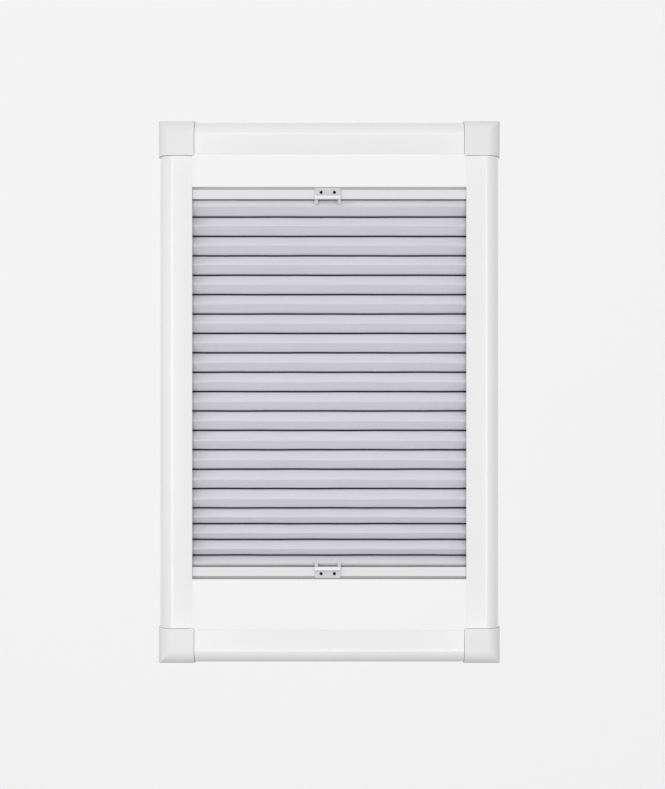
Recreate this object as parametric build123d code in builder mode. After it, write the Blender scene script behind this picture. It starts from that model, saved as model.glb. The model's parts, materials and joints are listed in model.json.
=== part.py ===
from build123d import *
import os
from math import asin, cos, degrees, pi, radians, sin

# In-frame pleated blind, millimetres. +X right, -Y towards the room, +Z up.
# The origin is the centre of the four mounting screws, on the plane the clips are screwed to.

# Frame: overall size over the four profiles
frame_width = 375.6
frame_height = 598.6

# Frame profile: one extruded section used on all four sides
face_width = 36.8
profile_wall = 1.6
crest_offset = 13.8  # from the outer edge to the crest line of the face
crest_break = 9.0  # degrees between the rounded nose and the face at the crest
crest_round = 14.0  # radius that softens the crest line
face_fall = 1.2  # how far the face falls from the crest to the inner edge
web_offset = 17.3  # from the outer edge to the web between chamber and channel
channel_clearance = 0.8  # before and behind a rail in its guide channel
rear_lip = 2.0  # wall behind the guide channel
rear_lip_setback = 5.0  # how far that wall stops short of the face's inner edge
front_lip = 2.2  # wall before the guide channel, at the face's inner edge
snap_slot_width = 10.0  # slot in the rear wall that the mounting clips snap into
snap_slot_offset = 5.3  # from the outer edge to that slot

# Moulded corners
corner_outside = 1.5  # how far a corner stands out beyond the profiles
corner_inside = 2.0  # how far a corner reaches past the face's inner edge
corner_proud = 0.6  # how far its face stands in front of the crest
corner_wall = 2.2
corner_edge = 0.5
corner_lip = 4.0  # thickness of the face where it reaches into the opening
joint_gap = 0.4  # between a profile and a corner
tongue_length = 28.0
tongue_clearance = 0.2

# Mounting clips
clip_plate = 1.2
clip_length = 30.0
clip_side = 2.0  # how far the plate passes the rear slot on each side
clip_round = 2.0
clip_leg_length = 18.0
clip_leg_wall = 0.8
clip_leg_rise = 4.6
clip_barb = 1.0
clip_clearance = 0.3
clip_screw_radius = 2.1
clip_inset = 109.3  # from the frame's top or bottom edge to a screw

# Rails
rail_height = 14.6
rail_depth = 20.0
rail_wall = 1.4
rail_edge = 0.5  # rounding of the rail's outer edges
rail_bevel_height = 4.4  # the bevel on each outer edge has two facets
rail_bevel_depth = 6.4
rail_bevel_break = (0.31, 0.41)  # where they meet, as shares of its depth and height
rail_end_gap = 9.0  # from a rail's end to its guide channel's web
rail_lip = 1.2
strip_slot_height = 2.2
strip_slot_opening = 7.0
upper_gap = 35.2  # open height above the upper rail
lower_gap = 55.0  # open height below the lower rail

# End caps
cap_gap = 1.5  # from a cap to its guide channel's web
cap_round = 1.5
glide_clearance = 0.3
plug_length = 10.0
plug_clearance = 0.3
plug_top_gap = 2.8  # from the outer edge of the rail to the plug
plug_width = 8.8

# Cords
cord_radius = 0.5
cord_bend = 3.0
cord_pitch = 4.0  # front to rear distance between the two cords
cord_inset = 5.0  # from the guide channel's web to the cords
cord_height = 9.0  # of the cords in a rail, from the rail's fabric side
cord_slot = 3.0  # width of the slots in the end caps
cord_slot_side = 0.7  # beside the two cords, front and rear
anchor_height = 5.0
anchor_length = 14.0
anchor_web_gap = 0.3
anchor_hole_clearance = 0.2
anchor_round = 1.0

# Fabric
fabric_thickness = 0.45
fabric_overlap = 7.0  # how far the fabric reaches into each guide channel
pleat_depth = 17.0
full_pleats = 15
settled_pleats = 3  # the lowest folds, pressed closer together
settled_share = 0.81
first_drop = 7.4  # from the upper rail to the first front fold
first_return = 10.8  # from there to the first rear fold
last_drop = 6.4  # from the last rear fold to the last front fold
last_return = 5.2  # from there to the lower rail
fold_share = 0.5  # height of a front fold between its two rear folds
settled_fold_share = 0.52
crease_depth = 7.0  # how far a rear fold is pressed shut, front to rear
crease_gap = 1.8  # height between the two layers there
turn_reach = 6.0  # how far forward the sheet leaves a rail, from its slot
turn_drop = 0.8  # how far outside the rail it does so
strip_thickness = 1.2
strip_width = 16.0
strip_clearance = 0.3
strip_end_gap = 1.0  # from an end of the strip to the end of its rail

# Handles
handle_width = 29.0
handle_wall = 1.6
handle_offset = 2.5  # from the rail's outer edge to the handle
handle_foot = 0.5  # how far the plate passes the rail's fabric side
handle_shift = -1.7  # of both handles from the middle of the rails
handle_ledge_height = 4.4
handle_ledge_reach = 4.6
handle_ledge_round = 1.6
handle_ear_width = 3.8
handle_ear_length = 5.4
handle_ear_front = 0.6  # of the ear before and behind the rail's front
handle_ear_rear = 1.2
handle_ear_gap = 0.2  # from the rail's fabric side to the ears
handle_ear_round = 1.25
handle_hole_radius = 1.8
handle_hole_spacing = 14.6
handle_hole_height = 7.3  # from the rail's fabric side
handle_corner = 2.6
handle_edge = 0.5

# Places that follow from the sizes above
rear_y = -clip_plate
half_width = frame_width / 2
half_height = frame_height / 2
clip_height = half_height - clip_inset
channel_width = rail_depth + 2 * channel_clearance
channel_y = rear_y - rear_lip - channel_width / 2
profile_depth = rear_lip + channel_width + front_lip + face_fall
web_inner = web_offset + profile_wall
web_x = half_width - web_inner
corner_size = corner_outside + face_width + corner_inside
corner_x = half_width + corner_outside - corner_size
corner_z = half_height + corner_outside - corner_size
opening_x = half_width - face_width
opening_z = half_height - face_width
nose_radius = crest_offset / (1 - cos(radians(90 - crest_break)))
nose_v = profile_depth - nose_radius * sin(radians(90 - crest_break))
face_run = face_width - crest_offset
face_radius = (face_run**2 + face_fall**2) / (2 * face_fall)  # the face is slightly convex
face_sweep = degrees(asin(face_run / face_radius))
upper_rail_z = opening_z - upper_gap - rail_height  # fabric side of the upper rail
lower_rail_z = -opening_z + lower_gap + rail_height  # fabric side of the lower rail
rail_end_x = web_x - rail_end_gap
cap_end_x = web_x - cap_gap
cord_x = web_x - cord_inset
cord_front_y = channel_y - cord_pitch / 2
cord_rear_y = channel_y + cord_pitch / 2
slot_depth = cord_pitch + 2 * cord_radius + 2 * cord_slot_side
rail_front_y = channel_y - rail_depth / 2

os.makedirs("parts", exist_ok=True)


def save(part, label):
    part.label = label
    export_step(part, f"parts/{label}.step")


# Each side has a plane whose x runs from the outer edge inwards and whose y runs from the rear
# to the front, so that one section serves all four.
def side_plane(side, end):
    if side == "left":
        return Plane(origin=(-half_width, rear_y, end), x_dir=(1, 0, 0), z_dir=(0, 0, -1))
    if side == "right":
        return Plane(origin=(half_width, rear_y, -end), x_dir=(-1, 0, 0), z_dir=(0, 0, 1))
    if side == "top":
        return Plane(origin=(end, rear_y, half_height), x_dir=(0, 0, -1), z_dir=(-1, 0, 0))
    return Plane(origin=(-end, rear_y, -half_height), x_dir=(0, 0, 1), z_dir=(1, 0, 0))


def profile_outline():
    with BuildLine() as outline:
        CenterArc((nose_radius, nose_v), nose_radius, 180, crest_break - 90)
        CenterArc((crest_offset, profile_depth - face_radius), face_radius, 90, -face_sweep)
        Polyline(
            (face_width, profile_depth - face_fall),
            (face_width, 0),
            (0, 0),
            (0, nose_v),
        )
    return outline.line


def profile_section():
    with BuildSketch() as chamber:
        with BuildLine():
            add(profile_outline())
        make_face()
        offset(amount=-profile_wall, mode=Mode.REPLACE)
        with Locations(((web_offset + face_width) / 2, profile_depth / 2)):
            Rectangle(face_width - web_offset, profile_depth, mode=Mode.SUBTRACT)
    with BuildSketch() as section:
        with BuildLine():
            add(profile_outline())
        make_face()
        crest = section.vertices().sort_by_distance((crest_offset, profile_depth))[0]
        fillet(crest, crest_round)
        add(chamber.sketch, mode=Mode.SUBTRACT)
        with Locations((web_inner, rear_lip)):
            Rectangle(
                face_width, channel_width, align=(Align.MIN, Align.MIN), mode=Mode.SUBTRACT
            )
        with Locations((face_width, 0)):
            Rectangle(
                rear_lip_setback, rear_lip, align=(Align.MAX, Align.MIN), mode=Mode.SUBTRACT
            )
        with Locations((snap_slot_offset, 0)):
            Rectangle(
                snap_slot_width, profile_wall, align=(Align.MIN, Align.MIN), mode=Mode.SUBTRACT
            )
    return section.sketch


# Frame profiles, square cut between the corners
side_end = corner_z - joint_gap
flat_end = corner_x - joint_gap
for side, end in (("left", side_end), ("right", side_end), ("top", flat_end), ("bottom", flat_end)):
    with BuildPart() as profile:
        with BuildSketch(side_plane(side, end)):
            add(profile_section())
        extrude(amount=2 * end)
    save(profile.part, f"{side}_profile")


# The solid section of a corner, whose nose runs smoothly into a flat face
def corner_section():
    nose_width = crest_offset + corner_outside
    front = profile_depth + corner_proud
    with BuildSketch() as section:
        with BuildLine():
            EllipticalCenterArc(
                (crest_offset, nose_v), nose_width, front - nose_v, start_angle=90, arc_size=90
            )
            Polyline(
                (crest_offset, front),
                (face_width + corner_inside, front),
                (face_width + corner_inside, 0),
                (-corner_outside, 0),
                (-corner_outside, nose_v),
            )
        make_face()
    return section.sketch


# A tongue fills the profile's chamber beside the nose, whose rounding it stays clear of
tongue_low = profile_wall + tongue_clearance
tongue_width = web_offset - profile_wall - 2 * tongue_clearance
tongue_rise = nose_v - tongue_low

# The corner at the top left is modelled, and the other three are its mirror images
with BuildPart() as corner:
    with BuildSketch(side_plane("left", half_height + corner_outside)):
        add(corner_section())
    extrude(amount=corner_size)
    with BuildSketch(side_plane("top", -half_width - corner_outside + corner_size)):
        add(corner_section())
    extrude(amount=corner_size, mode=Mode.INTERSECT)
    fillet(corner.edges().filter_by(Axis.Y).group_by(SortBy.LENGTH)[-1], corner_edge)
    # The two tongues
    for side, end in (("left", corner_z + corner_wall), ("top", tongue_length - corner_x)):
        with BuildSketch(side_plane(side, end)):
            with Locations((tongue_low, tongue_low)):
                Rectangle(tongue_width, tongue_rise, align=(Align.MIN, Align.MIN))
        extrude(amount=corner_wall + tongue_length)
    # Hollow behind the face: a wide shallow pocket, and a deep one away from the nose
    with BuildSketch(Plane.XZ.offset(-rear_y)):
        with Locations((-half_width - corner_outside + corner_wall, corner_z + corner_wall)):
            Rectangle(
                corner_size - 2 * corner_wall,
                corner_size - 2 * corner_wall,
                align=(Align.MIN, Align.MIN),
            )
    extrude(amount=nose_v - corner_wall, mode=Mode.SUBTRACT)
    with BuildSketch(Plane.XZ.offset(-rear_y)):
        with Locations((-half_width + crest_offset, corner_z + corner_wall)):
            Rectangle(
                face_width + corner_inside - crest_offset - corner_wall,
                face_width + corner_inside - crest_offset - corner_wall,
                align=(Align.MIN, Align.MIN),
            )
    extrude(amount=profile_depth - corner_wall, mode=Mode.SUBTRACT)
    # Only the face itself reaches into the opening
    with BuildSketch(Plane.XZ.offset(-rear_y)):
        with Locations((-opening_x - rear_lip_setback, corner_z)):
            Rectangle(
                rear_lip_setback + corner_inside,
                rear_lip_setback + corner_inside,
                align=(Align.MIN, Align.MIN),
            )
    extrude(amount=profile_depth + corner_proud - corner_lip, mode=Mode.SUBTRACT)

save(corner.part, "corner_top_left")
save(mirror(corner.part, about=Plane.YZ), "corner_top_right")
save(mirror(corner.part, about=Plane.XY), "corner_bottom_left")
save(mirror(mirror(corner.part, about=Plane.YZ), about=Plane.XY), "corner_bottom_right")


# Cord anchors, one under or over each corner, with a blind hole for the end of its cord.
# The front cord ends at the left, and the rear cord at the right.
anchor_width = channel_width - 2 * glide_clearance
anchor_ends = {
    "anchor_top_left": (-1, 1, cord_front_y),
    "anchor_top_right": (1, 1, cord_rear_y),
    "anchor_bottom_left": (-1, -1, cord_front_y),
    "anchor_bottom_right": (1, -1, cord_rear_y),
}
for label, (across, up, hole_y) in anchor_ends.items():
    centre_x = across * (web_x - anchor_web_gap - anchor_length / 2)
    with BuildPart() as anchor:
        with BuildSketch(Plane.XY.offset(up * corner_z)):
            with Locations((centre_x, channel_y)):
                RectangleRounded(anchor_length, anchor_width, anchor_round)
        extrude(amount=-up * anchor_height)
        with BuildSketch(Plane.XY.offset(up * (corner_z - anchor_height))):
            with Locations((across * cord_x, hole_y)):
                Circle(cord_radius + anchor_hole_clearance)
        extrude(amount=up * anchor_height / 2, mode=Mode.SUBTRACT)
    save(anchor.part, label)


# Mounting clips: a screwed plate with two sprung legs that catch inside the rear slot
clip_x = half_width - snap_slot_offset - snap_slot_width / 2
leg_face = snap_slot_width / 2 - clip_clearance  # outer face of a leg, from the middle
for label, across, up in (
    ("clip_upper_left", -1, 1),
    ("clip_upper_right", 1, 1),
    ("clip_lower_left", -1, -1),
    ("clip_lower_right", 1, -1),
):
    with BuildPart() as clip:
        with BuildSketch(Plane.XZ):
            with Locations((across * clip_x, up * clip_height)):
                RectangleRounded(snap_slot_width + 2 * clip_side, clip_length, clip_round)
                Circle(clip_screw_radius, mode=Mode.SUBTRACT)
        extrude(amount=clip_plate)
        leg_plane = Plane.XY.offset(up * clip_height - clip_leg_length / 2)
        with BuildSketch(leg_plane) as legs:
            for way in (-1, 1):
                with BuildLine():
                    Polyline(
                        (across * clip_x + way * (leg_face - clip_leg_wall), -clip_plate / 2),
                        (across * clip_x + way * leg_face, -clip_plate / 2),
                        (across * clip_x + way * leg_face, rear_y - profile_wall - clip_clearance),
                        (
                            across * clip_x + way * (leg_face + clip_barb),
                            rear_y - profile_wall - clip_clearance,
                        ),
                        (across * clip_x + way * leg_face, rear_y - clip_leg_rise),
                        (across * clip_x + way * (leg_face - clip_leg_wall), rear_y - clip_leg_rise),
                        close=True,
                    )
                make_face()
        extrude(amount=clip_leg_length)
    save(clip.part, label)


# The rail section is drawn with y = 0 at its fabric side, and x = 0 at the middle of its depth
def rail_section():
    bevel_low = rail_height - rail_bevel_height
    break_in = rail_bevel_depth * rail_bevel_break[0]
    break_up = rail_bevel_height * rail_bevel_break[1]
    with BuildSketch() as body:
        with BuildLine():
            Polyline(
                (-rail_depth / 2, 0),
                (rail_depth / 2, 0),
                (rail_depth / 2, bevel_low),
                (rail_depth / 2 - break_in, bevel_low + break_up),
                (rail_depth / 2 - rail_bevel_depth, rail_height),
                (rail_bevel_depth - rail_depth / 2, rail_height),
                (break_in - rail_depth / 2, bevel_low + break_up),
                (-rail_depth / 2, bevel_low),
                close=True,
            )
        make_face()
    web_low = rail_lip + strip_slot_height
    with BuildSketch() as chamber:
        add(body.sketch)
        offset(amount=-rail_wall, mode=Mode.REPLACE)
        Rectangle(
            rail_depth, web_low + rail_lip, align=(Align.CENTER, Align.MIN), mode=Mode.SUBTRACT
        )
    with BuildSketch() as section:
        add(body.sketch)
        fillet(section.vertices(), rail_edge)
        add(chamber.sketch, mode=Mode.SUBTRACT)
        with Locations((0, rail_lip)):
            Rectangle(
                rail_depth - 2 * rail_wall,
                strip_slot_height,
                align=(Align.CENTER, Align.MIN),
                mode=Mode.SUBTRACT,
            )
        Rectangle(
            strip_slot_opening, rail_lip, align=(Align.CENTER, Align.MIN), mode=Mode.SUBTRACT
        )
    return section.sketch


# A plane across a rail at x: its x runs rearwards, and its y away from the fabric
def rail_plane(fabric_z, up, x):
    return Plane(origin=(x, channel_y, fabric_z), x_dir=(0, up, 0), z_dir=(1, 0, 0))


# A flat plane at a height above a rail's fabric side, facing away from the fabric
def level_plane(fabric_z, up, height):
    return Plane(
        origin=(0, channel_y, fabric_z + up * height), x_dir=(1, 0, 0), z_dir=(0, 0, up)
    )


# A plane on a rail's front, its y away from the fabric, facing the room
def front_plane(fabric_z, up):
    return Plane(origin=(0, rail_front_y, fabric_z), x_dir=(up, 0, 0), z_dir=(0, -1, 0))


# The two fixing holes, on a rail's front plane
def handle_holes(up):
    with Locations((up * handle_shift, handle_hole_height)):
        with GridLocations(handle_hole_spacing, 0, 2, 1):
            Circle(handle_hole_radius)


strip_low = rail_lip + strip_clearance
cap_depth = channel_width - 2 * glide_clearance
plug_low = 2 * rail_lip + strip_slot_height + plug_clearance
plug_high = rail_height - plug_top_gap
for name, fabric_z, up in (("upper", upper_rail_z, 1), ("lower", lower_rail_z, -1)):
    with BuildPart() as rail:
        with BuildSketch(rail_plane(fabric_z, up, -rail_end_x)):
            add(rail_section())
        extrude(amount=2 * rail_end_x)
        with BuildSketch(front_plane(fabric_z, up)):
            handle_holes(up)
        extrude(amount=-rail_wall, mode=Mode.SUBTRACT)
    save(rail.part, f"{name}_rail")

    with BuildPart() as strip:
        with BuildSketch(level_plane(fabric_z, up, strip_low)):
            Rectangle(2 * (rail_end_x - strip_end_gap), strip_width)
        extrude(amount=strip_thickness)
    save(strip.part, f"{name}_fabric_strip")

    # End caps: a block that glides in the channel and a plug in the rail, cut out for the cords
    for side, across in (("left", -1), ("right", 1)):
        with BuildPart() as cap:
            with BuildSketch(rail_plane(fabric_z, up, across * rail_end_x)):
                with Locations((0, rail_height / 2)):
                    RectangleRounded(cap_depth, rail_height, cap_round)
            extrude(amount=across * (cap_end_x - rail_end_x))
            with BuildSketch(rail_plane(fabric_z, up, across * rail_end_x)):
                with Locations((0, plug_low)):
                    Rectangle(
                        plug_width, plug_high - plug_low, align=(Align.CENTER, Align.MIN)
                    )
            extrude(amount=-across * plug_length)
            with BuildSketch(level_plane(fabric_z, up, 0)):
                with Locations((across * cord_x, 0)):
                    Rectangle(cord_slot, slot_depth)
            extrude(amount=rail_height, mode=Mode.SUBTRACT)
            with BuildSketch(rail_plane(fabric_z, up, across * (cord_x + cord_slot / 2))):
                with Locations((0, cord_height)):
                    Rectangle(slot_depth, cord_slot)
            extrude(
                amount=-across * (cord_x + cord_slot / 2 - rail_end_x + plug_length),
                mode=Mode.SUBTRACT,
            )
        save(cap.part, f"{name}_rail_cap_{side}")

    # Handle: a screwed plate, a finger ledge along its fabric side, and two thin ears beyond it
    plate_high = rail_height - handle_offset
    plate_height = plate_high + handle_foot
    middle_x = up * handle_shift
    with BuildPart() as handle:
        with BuildSketch(front_plane(fabric_z, up)) as plate:
            with Locations((middle_x, -handle_foot)):
                Rectangle(handle_width, plate_height, align=(Align.CENTER, Align.MIN))
            fillet(plate.vertices().group_by(Axis.Y)[-1], handle_corner)
        extrude(amount=handle_wall)
        fillet(handle.faces().sort_by(Axis.Y)[0].edges(), handle_edge)
        with BuildSketch(front_plane(fabric_z, up)):
            with Locations((middle_x, -handle_foot)):
                Rectangle(handle_width, handle_ledge_height, align=(Align.CENTER, Align.MIN))
        extrude(amount=handle_ledge_reach)
        fillet(handle.faces().sort_by(Axis.Y)[0].edges(), handle_ledge_round)
        with BuildSketch(front_plane(fabric_z, up)) as ears:
            for way in (-1, 1):
                ear_x = middle_x + way * (handle_width - handle_ear_width) / 2
                with Locations((ear_x, -handle_ear_gap)):
                    Rectangle(
                        handle_ear_width, handle_ear_length, align=(Align.CENTER, Align.MAX)
                    )
            fillet(ears.vertices().group_by(Axis.Y)[0], handle_ear_round)
        extrude(amount=handle_ear_front)
        extrude(ears.sketch, amount=-handle_ear_rear)
        with BuildSketch(front_plane(fabric_z, up)):
            handle_holes(up)
        extrude(amount=handle_ledge_reach, mode=Mode.SUBTRACT)
    save(handle.part, f"{name}_handle")


# Fabric: one sheet folded to and fro between the rails, its side edges in the guide channels
fold_front_y = channel_y - pleat_depth / 2
fold_rear_y = channel_y + pleat_depth / 2
fabric_span = upper_rail_z - lower_rail_z
pleated_span = fabric_span - first_drop - first_return - last_drop - last_return
pleat_pitch = pleated_span / (full_pleats + settled_pleats * settled_share)


# A rear fold: in at the mouth of the crease, along it, and back
def crease_points(height):
    upper = height + crease_gap / 2
    lower = height - crease_gap / 2
    mouth_y = fold_rear_y - crease_depth
    return [(mouth_y, upper), (fold_rear_y, upper), (fold_rear_y, lower), (mouth_y, lower)]


def fold_points():
    turn_y = channel_y - turn_reach
    points = [(channel_y, upper_rail_z + rail_lip), (channel_y, upper_rail_z - turn_drop)]
    points.append((turn_y, upper_rail_z - turn_drop))
    height = upper_rail_z - first_drop
    points.append((fold_front_y, height))
    height -= first_return
    points += crease_points(height)
    for number in range(full_pleats + settled_pleats):
        settled = number >= full_pleats
        pitch = pleat_pitch * (settled_share if settled else 1)
        share = settled_fold_share if settled else fold_share
        points.append((fold_front_y, height - pitch * share))
        height -= pitch
        points += crease_points(height)
    points.append((fold_front_y, height - last_drop))
    points.append((turn_y, lower_rail_z + turn_drop))
    points += [(channel_y, lower_rail_z + turn_drop), (channel_y, lower_rail_z - rail_lip)]
    return points


with BuildPart() as fabric:
    with BuildSketch(Plane.YZ):
        with BuildLine():
            Polyline(*fold_points())
            offset(amount=fabric_thickness / 2, side=Side.BOTH)
        make_face()
    extrude(amount=opening_x + fabric_overlap, both=True)
save(fabric.part, "pleated_fabric")


# Tension cords: each runs down one channel, across inside the upper rail, down the other
# channel, and back inside the lower rail, which keeps both rails level.
cord_top = corner_z - anchor_height / 2
for label, start, cord_y in (("front_cord", -1, cord_front_y), ("rear_cord", 1, cord_rear_y)):
    route = (
        (start * cord_x, cord_y, cord_top),
        (start * cord_x, cord_y, upper_rail_z + cord_height),
        (-start * cord_x, cord_y, upper_rail_z + cord_height),
        (-start * cord_x, cord_y, lower_rail_z - cord_height),
        (start * cord_x, cord_y, lower_rail_z - cord_height),
        (start * cord_x, cord_y, -cord_top),
    )
    with BuildPart() as cord:
        with BuildLine() as path:
            centre_line = FilletPolyline(*route, radius=cord_bend)
        with BuildSketch(Plane(origin=route[0], x_dir=(1, 0, 0), z_dir=(0, 0, -1))):
            Circle(cord_radius)
        sweep(path=path.wires()[0])
    tube = pi * cord_radius**2 * centre_line.length
    print(label, "bends", cord_bend, "length", round(centre_line.length, 1))
    print(label, "volume", round(cord.part.volume, 1), "against", round(tube, 1))
    save(cord.part, label)
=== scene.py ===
"""The looks of an in-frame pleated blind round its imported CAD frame. Lengths are in metres."""

import json
import math

import bpy
import numpy as np
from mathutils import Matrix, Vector


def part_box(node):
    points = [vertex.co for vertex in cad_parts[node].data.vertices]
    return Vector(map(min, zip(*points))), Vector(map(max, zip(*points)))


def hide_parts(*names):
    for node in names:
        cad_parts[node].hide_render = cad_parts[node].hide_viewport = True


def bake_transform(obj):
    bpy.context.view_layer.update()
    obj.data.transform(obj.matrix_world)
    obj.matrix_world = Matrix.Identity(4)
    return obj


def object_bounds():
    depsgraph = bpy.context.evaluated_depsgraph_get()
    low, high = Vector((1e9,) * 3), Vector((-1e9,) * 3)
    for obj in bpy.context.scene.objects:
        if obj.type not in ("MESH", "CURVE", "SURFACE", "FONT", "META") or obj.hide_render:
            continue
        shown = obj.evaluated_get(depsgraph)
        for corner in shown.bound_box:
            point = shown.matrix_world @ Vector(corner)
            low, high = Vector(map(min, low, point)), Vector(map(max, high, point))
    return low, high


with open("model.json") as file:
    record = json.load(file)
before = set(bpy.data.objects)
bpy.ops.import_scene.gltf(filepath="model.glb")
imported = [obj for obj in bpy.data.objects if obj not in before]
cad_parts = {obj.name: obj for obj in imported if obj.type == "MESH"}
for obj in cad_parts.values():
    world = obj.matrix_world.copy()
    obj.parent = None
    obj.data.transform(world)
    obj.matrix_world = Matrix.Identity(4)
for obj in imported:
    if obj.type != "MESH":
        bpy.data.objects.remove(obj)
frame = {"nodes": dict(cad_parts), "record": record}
cad_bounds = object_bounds()

# Pleats, as in the part's source
FULL_PLEATS = 15
SETTLED_PLEATS = 3
SETTLED_SHARE = 0.81  # pitch of the settled pleats against the full ones
FIRST_DROP = 0.0074  # upper rail to the first front fold
FIRST_RETURN = 0.0108  # and on to the first rear fold
LAST_DROP = 0.0064  # last rear fold to the last front fold
LAST_RETURN = 0.0052  # and on to the lower rail
FOLD_SHARE = 0.5
SETTLED_FOLD_SHARE = 0.52
CREASE_DEPTH = 0.007
CREASE_GAP = 0.0018
TURN_REACH = 0.006
TURN_DROP = 0.0008
SLOT_DEPTH = 0.0012
CLOTH_THICKNESS = 0.00045
FRONT_FOLD_ROUND = 0.0009
REAR_FOLD_ROUND = 0.0008
MOUTH_ROUND = 0.0022
RAIL_TURN_ROUND = 0.0006  # where the sheet leaves a rail's slot
RAIL_BEND_ROUND = 0.0015  # and where it turns towards its first or last fold
CLOTH_COLUMNS = 96
CREASE_SHADE_SHARE = 0.35  # of a crease's depth, over which painted shade darkens the cloth
RIPPLE_LARGE = 0.00012
RIPPLE_SMALL = 0.00010

# Cords, as in the part's source
CORD_RADIUS = 0.0005
CORD_BEND = 0.003
CORD_HEIGHT = 0.009  # in a rail, from its fabric side

# Places taken from the frame
cloth_low, cloth_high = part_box("pleated_fabric")
upper_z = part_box("upper_rail")[0].z
lower_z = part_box("lower_rail")[1].z
rear_fold_y = cloth_high.y - CLOTH_THICKNESS / 2
front_fold_y = cloth_low.y + CLOTH_THICKNESS / 2
channel_y = (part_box("upper_rail")[0].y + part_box("upper_rail")[1].y) / 2
handle_front_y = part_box("upper_handle")[0].y
LEDGE_SHADE_BLEND = 0.0012  # depth over which the ledge's white turns to the painted grey shade on the plate and ears behind it


# ---------------------------------------------------------------- materials

SLOW_SCALE = 14  # of the slow colour variation on the hard surfaces
GRAIN_STRENGTH = 0.25
GLOSS_SPREAD = 0.04
COAT_ROUGHNESS = 0.12
BEVEL_SHADE_EDGE = (0.45, 0.6)  # a face's tilt where the rail's white turns to the bevel's painted grey shade


def new_material(name):
    material = bpy.data.materials.new(name)
    material.use_nodes = True
    nodes = material.node_tree.nodes
    return material, nodes, material.node_tree.links, nodes["Principled BSDF"]


def object_noise(nodes, links, scale, detail=2.0, stretch=(1, 1, 1)):
    coords = nodes.new("ShaderNodeTexCoord")
    mapping = nodes.new("ShaderNodeMapping")
    mapping.inputs["Scale"].default_value = stretch
    noise = nodes.new("ShaderNodeTexNoise")
    noise.inputs["Scale"].default_value = scale
    noise.inputs["Detail"].default_value = detail
    links.new(coords.outputs["Object"], mapping.inputs["Vector"])
    links.new(mapping.outputs["Vector"], noise.inputs["Vector"])
    return noise


def tint(nodes, links, factor, dark, light, low=0.3, high=0.7):
    ramp = nodes.new("ShaderNodeValToRGB")
    ramp.color_ramp.elements[0].position = low
    ramp.color_ramp.elements[0].color = (*dark, 1)
    ramp.color_ramp.elements[1].position = high
    ramp.color_ramp.elements[1].color = (*light, 1)
    links.new(factor, ramp.inputs["Fac"])
    return ramp.outputs["Color"]


def bump(nodes, links, height, strength, distance):
    node = nodes.new("ShaderNodeBump")
    node.inputs["Strength"].default_value = strength
    node.inputs["Distance"].default_value = distance
    links.new(height, node.inputs["Height"])
    return node.outputs["Normal"]


def shaded(colour, share):
    return tuple(c * share for c in colour)


def surface(name, colour, roughness, grain, grain_height, variation=0.015, metallic=0.0, coat=0.0):
    """A hard surface: slow colour variation, fine grain in its relief and a little in its gloss."""
    material, nodes, links, shader = new_material(name)
    slow = object_noise(nodes, links, SLOW_SCALE)
    fine = object_noise(nodes, links, grain, 3)
    links.new(
        tint(nodes, links, slow.outputs["Fac"], shaded(colour, 1 - variation), colour),
        shader.inputs["Base Color"],
    )
    gloss = nodes.new("ShaderNodeMapRange")
    gloss.inputs["To Min"].default_value = roughness - GLOSS_SPREAD
    gloss.inputs["To Max"].default_value = roughness + GLOSS_SPREAD
    links.new(fine.outputs["Fac"], gloss.inputs["Value"])
    links.new(gloss.outputs["Result"], shader.inputs["Roughness"])
    relief = bump(nodes, links, fine.outputs["Fac"], GRAIN_STRENGTH, grain_height)
    links.new(relief, shader.inputs["Normal"])
    shader.inputs["Metallic"].default_value = metallic
    shader.inputs["Coat Weight"].default_value = coat
    shader.inputs["Coat Roughness"].default_value = COAT_ROUGHNESS
    return material


def rail_with_painted_bevel_shade(name, colour, bevel_shade_colour):
    """The rail's white coating, with painted shade: the bevel on its outer edge, picked out by how
    far its faces tilt up or down, is painted grey.
    """
    material = surface(name, colour, 0.35, 900, 0.00002)
    nodes, links = material.node_tree.nodes, material.node_tree.links
    shader = nodes["Principled BSDF"]
    white = shader.inputs["Base Color"].links[0].from_socket
    coords = nodes.new("ShaderNodeTexCoord")
    split = nodes.new("ShaderNodeSeparateXYZ")
    links.new(coords.outputs["Normal"], split.inputs["Vector"])
    steepness = nodes.new("ShaderNodeMath")
    steepness.operation = "ABSOLUTE"
    links.new(split.outputs["Z"], steepness.inputs[0])
    # Painted shade: faces tilted up or down are painted grey
    bevel_shade_mask = tint(nodes, links, steepness.outputs["Value"], (0, 0, 0), (1, 1, 1), *BEVEL_SHADE_EDGE)
    mix = nodes.new("ShaderNodeMix")
    mix.data_type = "RGBA"
    links.new(bevel_shade_mask, mix.inputs["Factor"])
    links.new(white, mix.inputs["A"])
    mix.inputs["B"].default_value = (*bevel_shade_colour, 1)
    links.new(mix.outputs["Result"], shader.inputs["Base Color"])
    return material


def handle_with_painted_recess_shade(name, colour, recess_shade_colour):
    """Milky plastic, white in the finger ledge, with painted shade: the plate and ears set back
    behind the ledge are painted grey.
    """
    material = surface(name, colour, 0.28, 500, 0.00001)
    nodes, links = material.node_tree.nodes, material.node_tree.links
    shader = nodes["Principled BSDF"]
    white = shader.inputs["Base Color"].links[0].from_socket
    coords = nodes.new("ShaderNodeTexCoord")
    split = nodes.new("ShaderNodeSeparateXYZ")
    links.new(coords.outputs["Object"], split.inputs["Vector"])
    # Painted shade: grey from just behind the ledge's front backwards
    recess_shade = nodes.new("ShaderNodeMapRange")
    recess_shade.inputs["From Min"].default_value = handle_front_y + LEDGE_SHADE_BLEND
    recess_shade.inputs["From Max"].default_value = handle_front_y + 2 * LEDGE_SHADE_BLEND
    links.new(split.outputs["Y"], recess_shade.inputs["Value"])
    mix = nodes.new("ShaderNodeMix")
    mix.data_type = "RGBA"
    links.new(recess_shade.outputs["Result"], mix.inputs["Factor"])
    links.new(white, mix.inputs["A"])
    mix.inputs["B"].default_value = (*recess_shade_colour, 1)
    links.new(mix.outputs["Result"], shader.inputs["Base Color"])
    return material


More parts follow.
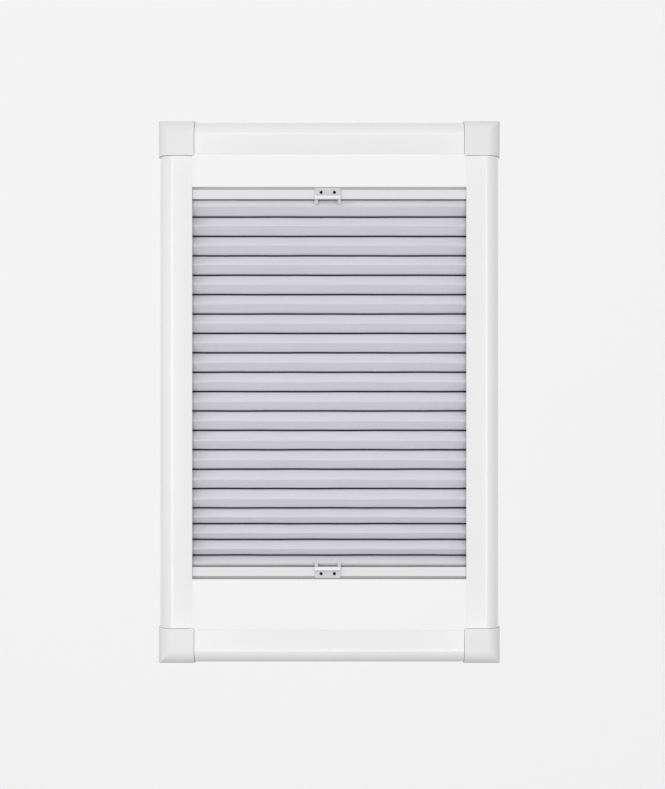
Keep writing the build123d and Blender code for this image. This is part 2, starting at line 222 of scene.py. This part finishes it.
def woven_cloth(name, colour, crease_painted_shade_share):
    """Fine plain weave laid out on the cloth's own UV map, which is in metres."""
    material, nodes, links, shader = new_material(name)
    uv = nodes.new("ShaderNodeUVMap")
    uv.uv_map = "cloth"
    heights = []
    for direction in ("X", "Y"):
        wave = nodes.new("ShaderNodeTexWave")
        wave.bands_direction = direction
        wave.inputs["Scale"].default_value = 310
        wave.inputs["Distortion"].default_value = 1.2
        wave.inputs["Detail Scale"].default_value = 60
        links.new(uv.outputs["UV"], wave.inputs["Vector"])
        heights.append(wave.outputs["Fac"])
    weave = nodes.new("ShaderNodeMath")
    weave.operation = "MULTIPLY"
    links.new(heights[0], weave.inputs[0])
    links.new(heights[1], weave.inputs[1])
    # Threads run across the cloth: long thin streaks, slightly lighter or darker
    mapping = nodes.new("ShaderNodeMapping")
    mapping.inputs["Scale"].default_value = (12, 1400, 1)
    streaks = nodes.new("ShaderNodeTexNoise")
    streaks.inputs["Scale"].default_value = 1.0
    streaks.inputs["Detail"].default_value = 2.0
    links.new(uv.outputs["UV"], mapping.inputs["Vector"])
    links.new(mapping.outputs["Vector"], streaks.inputs["Vector"])
    threads = tint(nodes, links, streaks.outputs["Fac"], shaded(colour, 0.93), shaded(colour, 1.03))
    knots = nodes.new("ShaderNodeMix")
    knots.data_type = "RGBA"
    knots.blend_type = "MULTIPLY"
    knots.inputs["Factor"].default_value = 1.0
    links.new(threads, knots.inputs["A"])
    links.new(
        tint(nodes, links, weave.outputs["Value"], (0.93,) * 3, (1.0,) * 3, 0.0, 0.6),
        knots.inputs["B"],
    )
    # Painted shade: inside a pressed crease the cloth's colour turns dark towards the fold,
    # standing in for the shade that lies there
    crease = nodes.new("ShaderNodeAttribute")
    crease.attribute_name = "crease"
    dark = nodes.new("ShaderNodeMix")
    dark.data_type = "RGBA"
    links.new(crease.outputs["Fac"], dark.inputs["Factor"])
    links.new(knots.outputs["Result"], dark.inputs["A"])
    # Painted shade: the crease colour, a share of the cloth's own colour
    dark.inputs["B"].default_value = (*shaded(colour, crease_painted_shade_share), 1)
    links.new(dark.outputs["Result"], shader.inputs["Base Color"])
    shader.inputs["Roughness"].default_value = 0.88
    shader.inputs["Specular IOR Level"].default_value = 0.25
    shader.inputs["Sheen Weight"].default_value = 0.12
    shader.inputs["Sheen Roughness"].default_value = 0.5
    links.new(
        bump(nodes, links, weave.outputs["Value"], 0.35, 0.00012), shader.inputs["Normal"]
    )
    return material


def braided_cord(name, colour):
    material, nodes, links, shader = new_material(name)
    coords = nodes.new("ShaderNodeTexCoord")
    wave = nodes.new("ShaderNodeTexWave")
    wave.bands_direction = "DIAGONAL"
    wave.inputs["Scale"].default_value = 420
    links.new(coords.outputs["Object"], wave.inputs["Vector"])
    links.new(
        tint(nodes, links, wave.outputs["Fac"], shaded(colour, 0.8), colour, 0.2, 0.8),
        shader.inputs["Base Color"],
    )
    shader.inputs["Roughness"].default_value = 0.75
    links.new(bump(nodes, links, wave.outputs["Fac"], 0.5, 0.0001), shader.inputs["Normal"])
    return material


CLOTH_COLOUR = (0.70, 0.693, 0.733)
materials = {
    "frame_coating": surface(
        "frame_coating", (0.79, 0.79, 0.79), 0.22, 900, 0.000015, coat=0.8
    ),
    "corner_plastic": surface("corner_plastic", (0.75, 0.75, 0.75), 0.5, 1600, 0.00003),
    # the rail's grey bevel colour below is painted shade
    "rail_coating": rail_with_painted_bevel_shade("rail_coating", (0.70, 0.698, 0.693), (0.472, 0.472, 0.472)),
    "cap_plastic": surface("cap_plastic", (0.76, 0.76, 0.76), 0.5, 1600, 0.00004),
    "anchor_plastic": surface("anchor_plastic", (0.74, 0.74, 0.74), 0.5, 1600, 0.00004),
    "strip_plastic": surface("strip_plastic", (0.72, 0.72, 0.72), 0.45, 1200, 0.00003),
    # the handle's grey plate colour below is painted shade
    "handle_plastic": handle_with_painted_recess_shade("handle_plastic", (0.80, 0.80, 0.795), (0.58, 0.58, 0.58)),
    "clip_steel": surface("clip_steel", (0.66, 0.67, 0.69), 0.34, 700, 0.00002, 0.12, 1.0),
    # the last number on each cloth side is its painted crease shade, as a share of its colour
    "pleated_cloth": woven_cloth("pleated_cloth", CLOTH_COLOUR, 0.06),
    "cloth_back": woven_cloth("cloth_back", (0.70, 0.70, 0.70), 0.9),
    "cord_braid": braided_cord("cord_braid", (0.78, 0.78, 0.78)),
}
for part in frame["record"]["subparts"]:
    node = frame["nodes"][part["node"]]
    node.data.materials.clear()
    node.data.materials.append(materials[part["material_slot"]])


# ---------------------------------------------------------------- fabric


def rounded(points, radii, steps=4):
    """The points with each corner cut by its radius and bridged by a smooth curve."""
    path = [points[0]]
    for before, corner, after, radius in zip(points, points[1:], points[2:], radii[1:]):
        before, corner, after = (np.array(p) for p in (before, corner, after))
        start = corner + (before - corner) * min(radius / np.linalg.norm(before - corner), 0.5)
        end = corner + (after - corner) * min(radius / np.linalg.norm(after - corner), 0.5)
        for t in np.linspace(0, 1, steps + 1):
            path.append((1 - t) ** 2 * start + 2 * t * (1 - t) * corner + t**2 * end)
    path.append(points[-1])
    return np.array([tuple(p) for p in path])


def crease_points(height):
    mouth_y = rear_fold_y - CREASE_DEPTH
    upper, lower = height + CREASE_GAP / 2, height - CREASE_GAP / 2
    points = [(mouth_y, upper), (rear_fold_y, upper), (rear_fold_y, lower), (mouth_y, lower)]
    return points, [MOUTH_ROUND, REAR_FOLD_ROUND, REAR_FOLD_ROUND, MOUTH_ROUND]


def sheet_outline():
    """(y, z) of the sheet from the upper rail to the lower, and its middle rear fold's height."""
    span = upper_z - lower_z
    pitch = (span - FIRST_DROP - FIRST_RETURN - LAST_DROP - LAST_RETURN) / (
        FULL_PLEATS + SETTLED_PLEATS * SETTLED_SHARE
    )
    turn_y = channel_y - TURN_REACH
    points = [(channel_y, upper_z + SLOT_DEPTH), (channel_y, upper_z - TURN_DROP)]
    points.append((turn_y, upper_z - TURN_DROP))
    radii = [0, RAIL_TURN_ROUND, RAIL_BEND_ROUND]
    height = upper_z - FIRST_DROP
    points.append((front_fold_y, height))
    radii.append(FRONT_FOLD_ROUND)
    height -= FIRST_RETURN
    rear_folds = []
    for number in range(FULL_PLEATS + SETTLED_PLEATS + 1):
        added, added_radii = crease_points(height)
        points += added
        radii += added_radii
        rear_folds.append(height)
        settled = number >= FULL_PLEATS
        step = pitch * (SETTLED_SHARE if settled else 1)
        share = SETTLED_FOLD_SHARE if settled else FOLD_SHARE
        last = number == FULL_PLEATS + SETTLED_PLEATS
        points.append((front_fold_y, height - (LAST_DROP if last else step * share)))
        radii.append(FRONT_FOLD_ROUND)
        height -= step
    points += [(turn_y, lower_z + TURN_DROP), (channel_y, lower_z + TURN_DROP)]
    points.append((channel_y, lower_z - SLOT_DEPTH))
    radii += [RAIL_BEND_ROUND, RAIL_TURN_ROUND, 0]
    middle = (upper_z + lower_z) / 2
    return rounded(points, radii), min(rear_folds, key=lambda z: abs(z - middle))


def cloth_piece(name, outline):
    """A sheet with that outline, as wide as the fabric's box, its UV map in metres of cloth."""
    columns = np.linspace(cloth_low.x, cloth_high.x, CLOTH_COLUMNS + 1)
    along = np.concatenate([[0], np.cumsum(np.linalg.norm(np.diff(outline, axis=0), axis=1))])
    vertices = []
    for y, z in outline:
        for x in columns:
            ripple = RIPPLE_LARGE * math.sin(x * 37 + z * 180)
            ripple += RIPPLE_SMALL * math.sin(x * 91 - z * 60)
            vertices.append((x, y + ripple, z + ripple * 0.6))
    width = len(columns)
    faces = [
        (r * width + c, (r + 1) * width + c, (r + 1) * width + c + 1, r * width + c + 1)
        for r in range(len(outline) - 1)
        for c in range(width - 1)
    ]
    mesh = bpy.data.meshes.new(name)
    mesh.from_pydata(vertices, [], faces)
    uv_layer = mesh.uv_layers.new(name="cloth")
    for loop in mesh.loops:
        row, column = divmod(loop.vertex_index, width)
        uv_layer.data[loop.index].uv = (columns[column], along[row])
    # Painted shade: each row's depth into a crease sets how dark the cloth is painted there
    mouth_y = rear_fold_y - CREASE_DEPTH
    depth = np.clip((outline[:, 0] - mouth_y) / (CREASE_DEPTH * CREASE_SHADE_SHARE), 0, 1)
    crease = mesh.attributes.new("crease", "FLOAT", "POINT")
    crease.data.foreach_set("value", np.repeat(depth, width).astype(np.float32))
    mesh.polygons.foreach_set("use_smooth", [True] * len(mesh.polygons))
    piece = bpy.data.objects.new(name, mesh)
    bpy.context.scene.collection.objects.link(piece)
    piece.data.materials.append(materials["pleated_cloth"])
    piece.data.materials.append(materials["cloth_back"])
    layers = piece.modifiers.new("thickness", "SOLIDIFY")
    layers.thickness = CLOTH_THICKNESS
    layers.offset = 0
    layers.material_offset = 1
    return piece, along[-1]


def follow(piece):
    """Bakes the piece's transform into its mesh."""
    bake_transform(piece)


outline, middle_z = sheet_outline()
middle_row = int(np.argmin(np.abs(outline[:, 1] - middle_z) - outline[:, 0]))

upper_cloth, upper_length = cloth_piece("fabric_upper_half", outline[: middle_row + 1])
lower_cloth, lower_length = cloth_piece("fabric_lower_half", outline[middle_row:])
follow(
    upper_cloth,
)
follow(
    lower_cloth,
)
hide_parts("pleated_fabric")
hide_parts("pleated_fabric")


# ---------------------------------------------------------------- cords


def cord_piece(name, route):
    """A cord on a smooth spline of order 3 with those control points, as a mesh."""
    curve = bpy.data.curves.new(name, "CURVE")
    curve.dimensions = "3D"
    curve.bevel_depth = CORD_RADIUS
    curve.bevel_resolution = 3
    curve.resolution_u = 12
    spline = curve.splines.new("NURBS")
    spline.points.add(len(route) - 1)
    for point, place in zip(spline.points, route):
        point.co = (*place, 1)
    spline.order_u = 3
    spline.use_endpoint_u = True
    drawn = bpy.data.objects.new(name + "_route", curve)
    bpy.context.scene.collection.objects.link(drawn)
    evaluated = drawn.evaluated_get(bpy.context.evaluated_depsgraph_get())
    piece = bpy.data.objects.new(name, bpy.data.meshes.new_from_object(evaluated))
    bpy.data.objects.remove(drawn)
    bpy.context.scene.collection.objects.link(piece)
    piece.data.polygons.foreach_set("use_smooth", [True] * len(piece.data.polygons))
    piece.data.materials.clear()
    piece.data.materials.append(materials["cord_braid"])
    return piece


def cord_halves(node, side):
    """One tension cord in two pieces that meet half way down, each running along its own rail."""
    low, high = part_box(node)
    y = (low.y + high.y) / 2
    start_x = side * (high.x - CORD_RADIUS)
    cross_x = -start_x
    lead = 2 * CORD_BEND  # a point this far from each rail's corner keeps the bend tight
    upper_run = upper_z + CORD_HEIGHT
    lower_run = lower_z - CORD_HEIGHT
    upper = cord_piece(
        node + "_upper",
        [
            (start_x, y, high.z),
            (start_x, y, upper_run + lead),
            (start_x, y, upper_run),
            (start_x - side * lead, y, upper_run),
            (cross_x + side * lead, y, upper_run),
            (cross_x, y, upper_run),
            (cross_x, y, upper_run - lead),
            (cross_x, y, middle_z),
        ],
    )
    lower = cord_piece(
        node + "_lower",
        [
            (cross_x, y, middle_z),
            (cross_x, y, lower_run + lead),
            (cross_x, y, lower_run),
            (cross_x + side * lead, y, lower_run),
            (start_x - side * lead, y, lower_run),
            (start_x, y, lower_run),
            (start_x, y, lower_run - lead),
            (start_x, y, low.z),
        ],
    )
    follow(upper)
    follow(lower)
    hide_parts(node)
    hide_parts(node)


cord_halves("front_cord", -1)
cord_halves("rear_cord", 1)


# ---------------------------------------------------------------- camera, stage and light

low, high = cad_bounds
centre = (low + high) / 2
CAMERA_DISTANCE = 1.5  # from the front of the frame
HEIGHT_SHARE = 0.6932  # of the picture's height that the blind fills
RIGHT_SHARE = 0.0041  # how far the camera stands to the right, of the height it sees
DOWN_SHARE = 0.0032
SENSOR_WIDTH = 36
view_height = (high.z - low.z) / HEIGHT_SHARE

camera_data = bpy.data.cameras.new("camera")
camera_data.sensor_width = SENSOR_WIDTH
camera_data.lens = SENSOR_WIDTH * CAMERA_DISTANCE / view_height
camera = bpy.data.objects.new("camera", camera_data)
bpy.context.scene.collection.objects.link(camera)
frame_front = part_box("left_profile")[0].y
camera.location = (
    centre.x + view_height * RIGHT_SHARE,
    frame_front - CAMERA_DISTANCE,
    centre.z - view_height * DOWN_SHARE,
)
camera.rotation_euler = (math.radians(90), 0, 0)
bpy.context.scene.camera = camera


def stage_plane(name, corners, colour, glow):
    """A plain matt surface of the studio, which isn't part of the object."""
    mesh = bpy.data.meshes.new(name)
    mesh.from_pydata(corners, [], [(0, 1, 2, 3)])
    plane = bpy.data.objects.new(name, mesh)
    bpy.context.scene.collection.objects.link(plane)
    material, nodes, links, shader = new_material(name)
    shader.inputs["Base Color"].default_value = (*colour, 1)
    shader.inputs["Roughness"].default_value = 1.0
    shader.inputs["Specular IOR Level"].default_value = 0.0
    shader.inputs["Emission Color"].default_value = (1, 1, 1, 1)
    shader.inputs["Emission Strength"].default_value = glow
    plane.data.materials.append(material)


def softbox(name, place, size, power):
    """A rectangular studio light aimed at the middle of the blind, out of the camera's sight."""
    data = bpy.data.lights.new(name, "AREA")
    data.shape = "RECTANGLE"
    data.size, data.size_y = size
    data.energy = power
    lamp = bpy.data.objects.new(name, data)
    bpy.context.scene.collection.objects.link(lamp)
    lamp.location = place
    lamp.rotation_euler = (centre - Vector(place)).to_track_quat("-Z", "Y").to_euler()
    lamp.visible_camera = False


LEFT_POWER = 3.4
RIGHT_POWER = 2.9
UPPER_POWER = 2.4
LOWER_POWER = 3.8
KEY_POWER = 13.8
WORLD_STRENGTH = 0.71
WALL_GLOW = 0.475
WALL_Y = 2.4
FLOOR_DROP = 0.9  # from the blind's lower edge to the floor
STAGE_REACH = 8
STAGE_TOP = 6

floor_z = low.z - FLOOR_DROP
stage_plane(
    "studio_floor",
    [
        (-STAGE_REACH, -STAGE_REACH, floor_z),
        (STAGE_REACH, -STAGE_REACH, floor_z),
        (STAGE_REACH, WALL_Y, floor_z),
        (-STAGE_REACH, WALL_Y, floor_z),
    ],
    (0.55, 0.55, 0.55),
    0.0,
)
stage_plane(
    "studio_wall",
    [
        (-STAGE_REACH, WALL_Y, floor_z),
        (STAGE_REACH, WALL_Y, floor_z),
        (STAGE_REACH, WALL_Y, STAGE_TOP),
        (-STAGE_REACH, WALL_Y, STAGE_TOP),
    ],
    (0.6, 0.6, 0.6),
    WALL_GLOW,
)
lamp_y = camera.location.y
softbox("left_softbox", (-0.5, lamp_y, 0.0), (0.4, 1.0), LEFT_POWER)
softbox("right_softbox", (0.5, lamp_y, 0.0), (0.4, 1.0), RIGHT_POWER)
softbox("upper_softbox", (0.0, lamp_y, 0.7), (1.4, 0.4), UPPER_POWER)
softbox("lower_softbox", (0.0, lamp_y, -0.7), (1.4, 0.4), LOWER_POWER)
softbox("key_softbox", (-2.4, -1.3, 1.6), (1.2, 1.2), KEY_POWER)

world = bpy.data.worlds.new("studio")
world.use_nodes = True
world.node_tree.nodes["Background"].inputs["Color"].default_value = (1, 1, 1, 1)
world.node_tree.nodes["Background"].inputs["Strength"].default_value = WORLD_STRENGTH
bpy.context.scene.world = world
bpy.context.scene.view_settings.view_transform = "Standard"
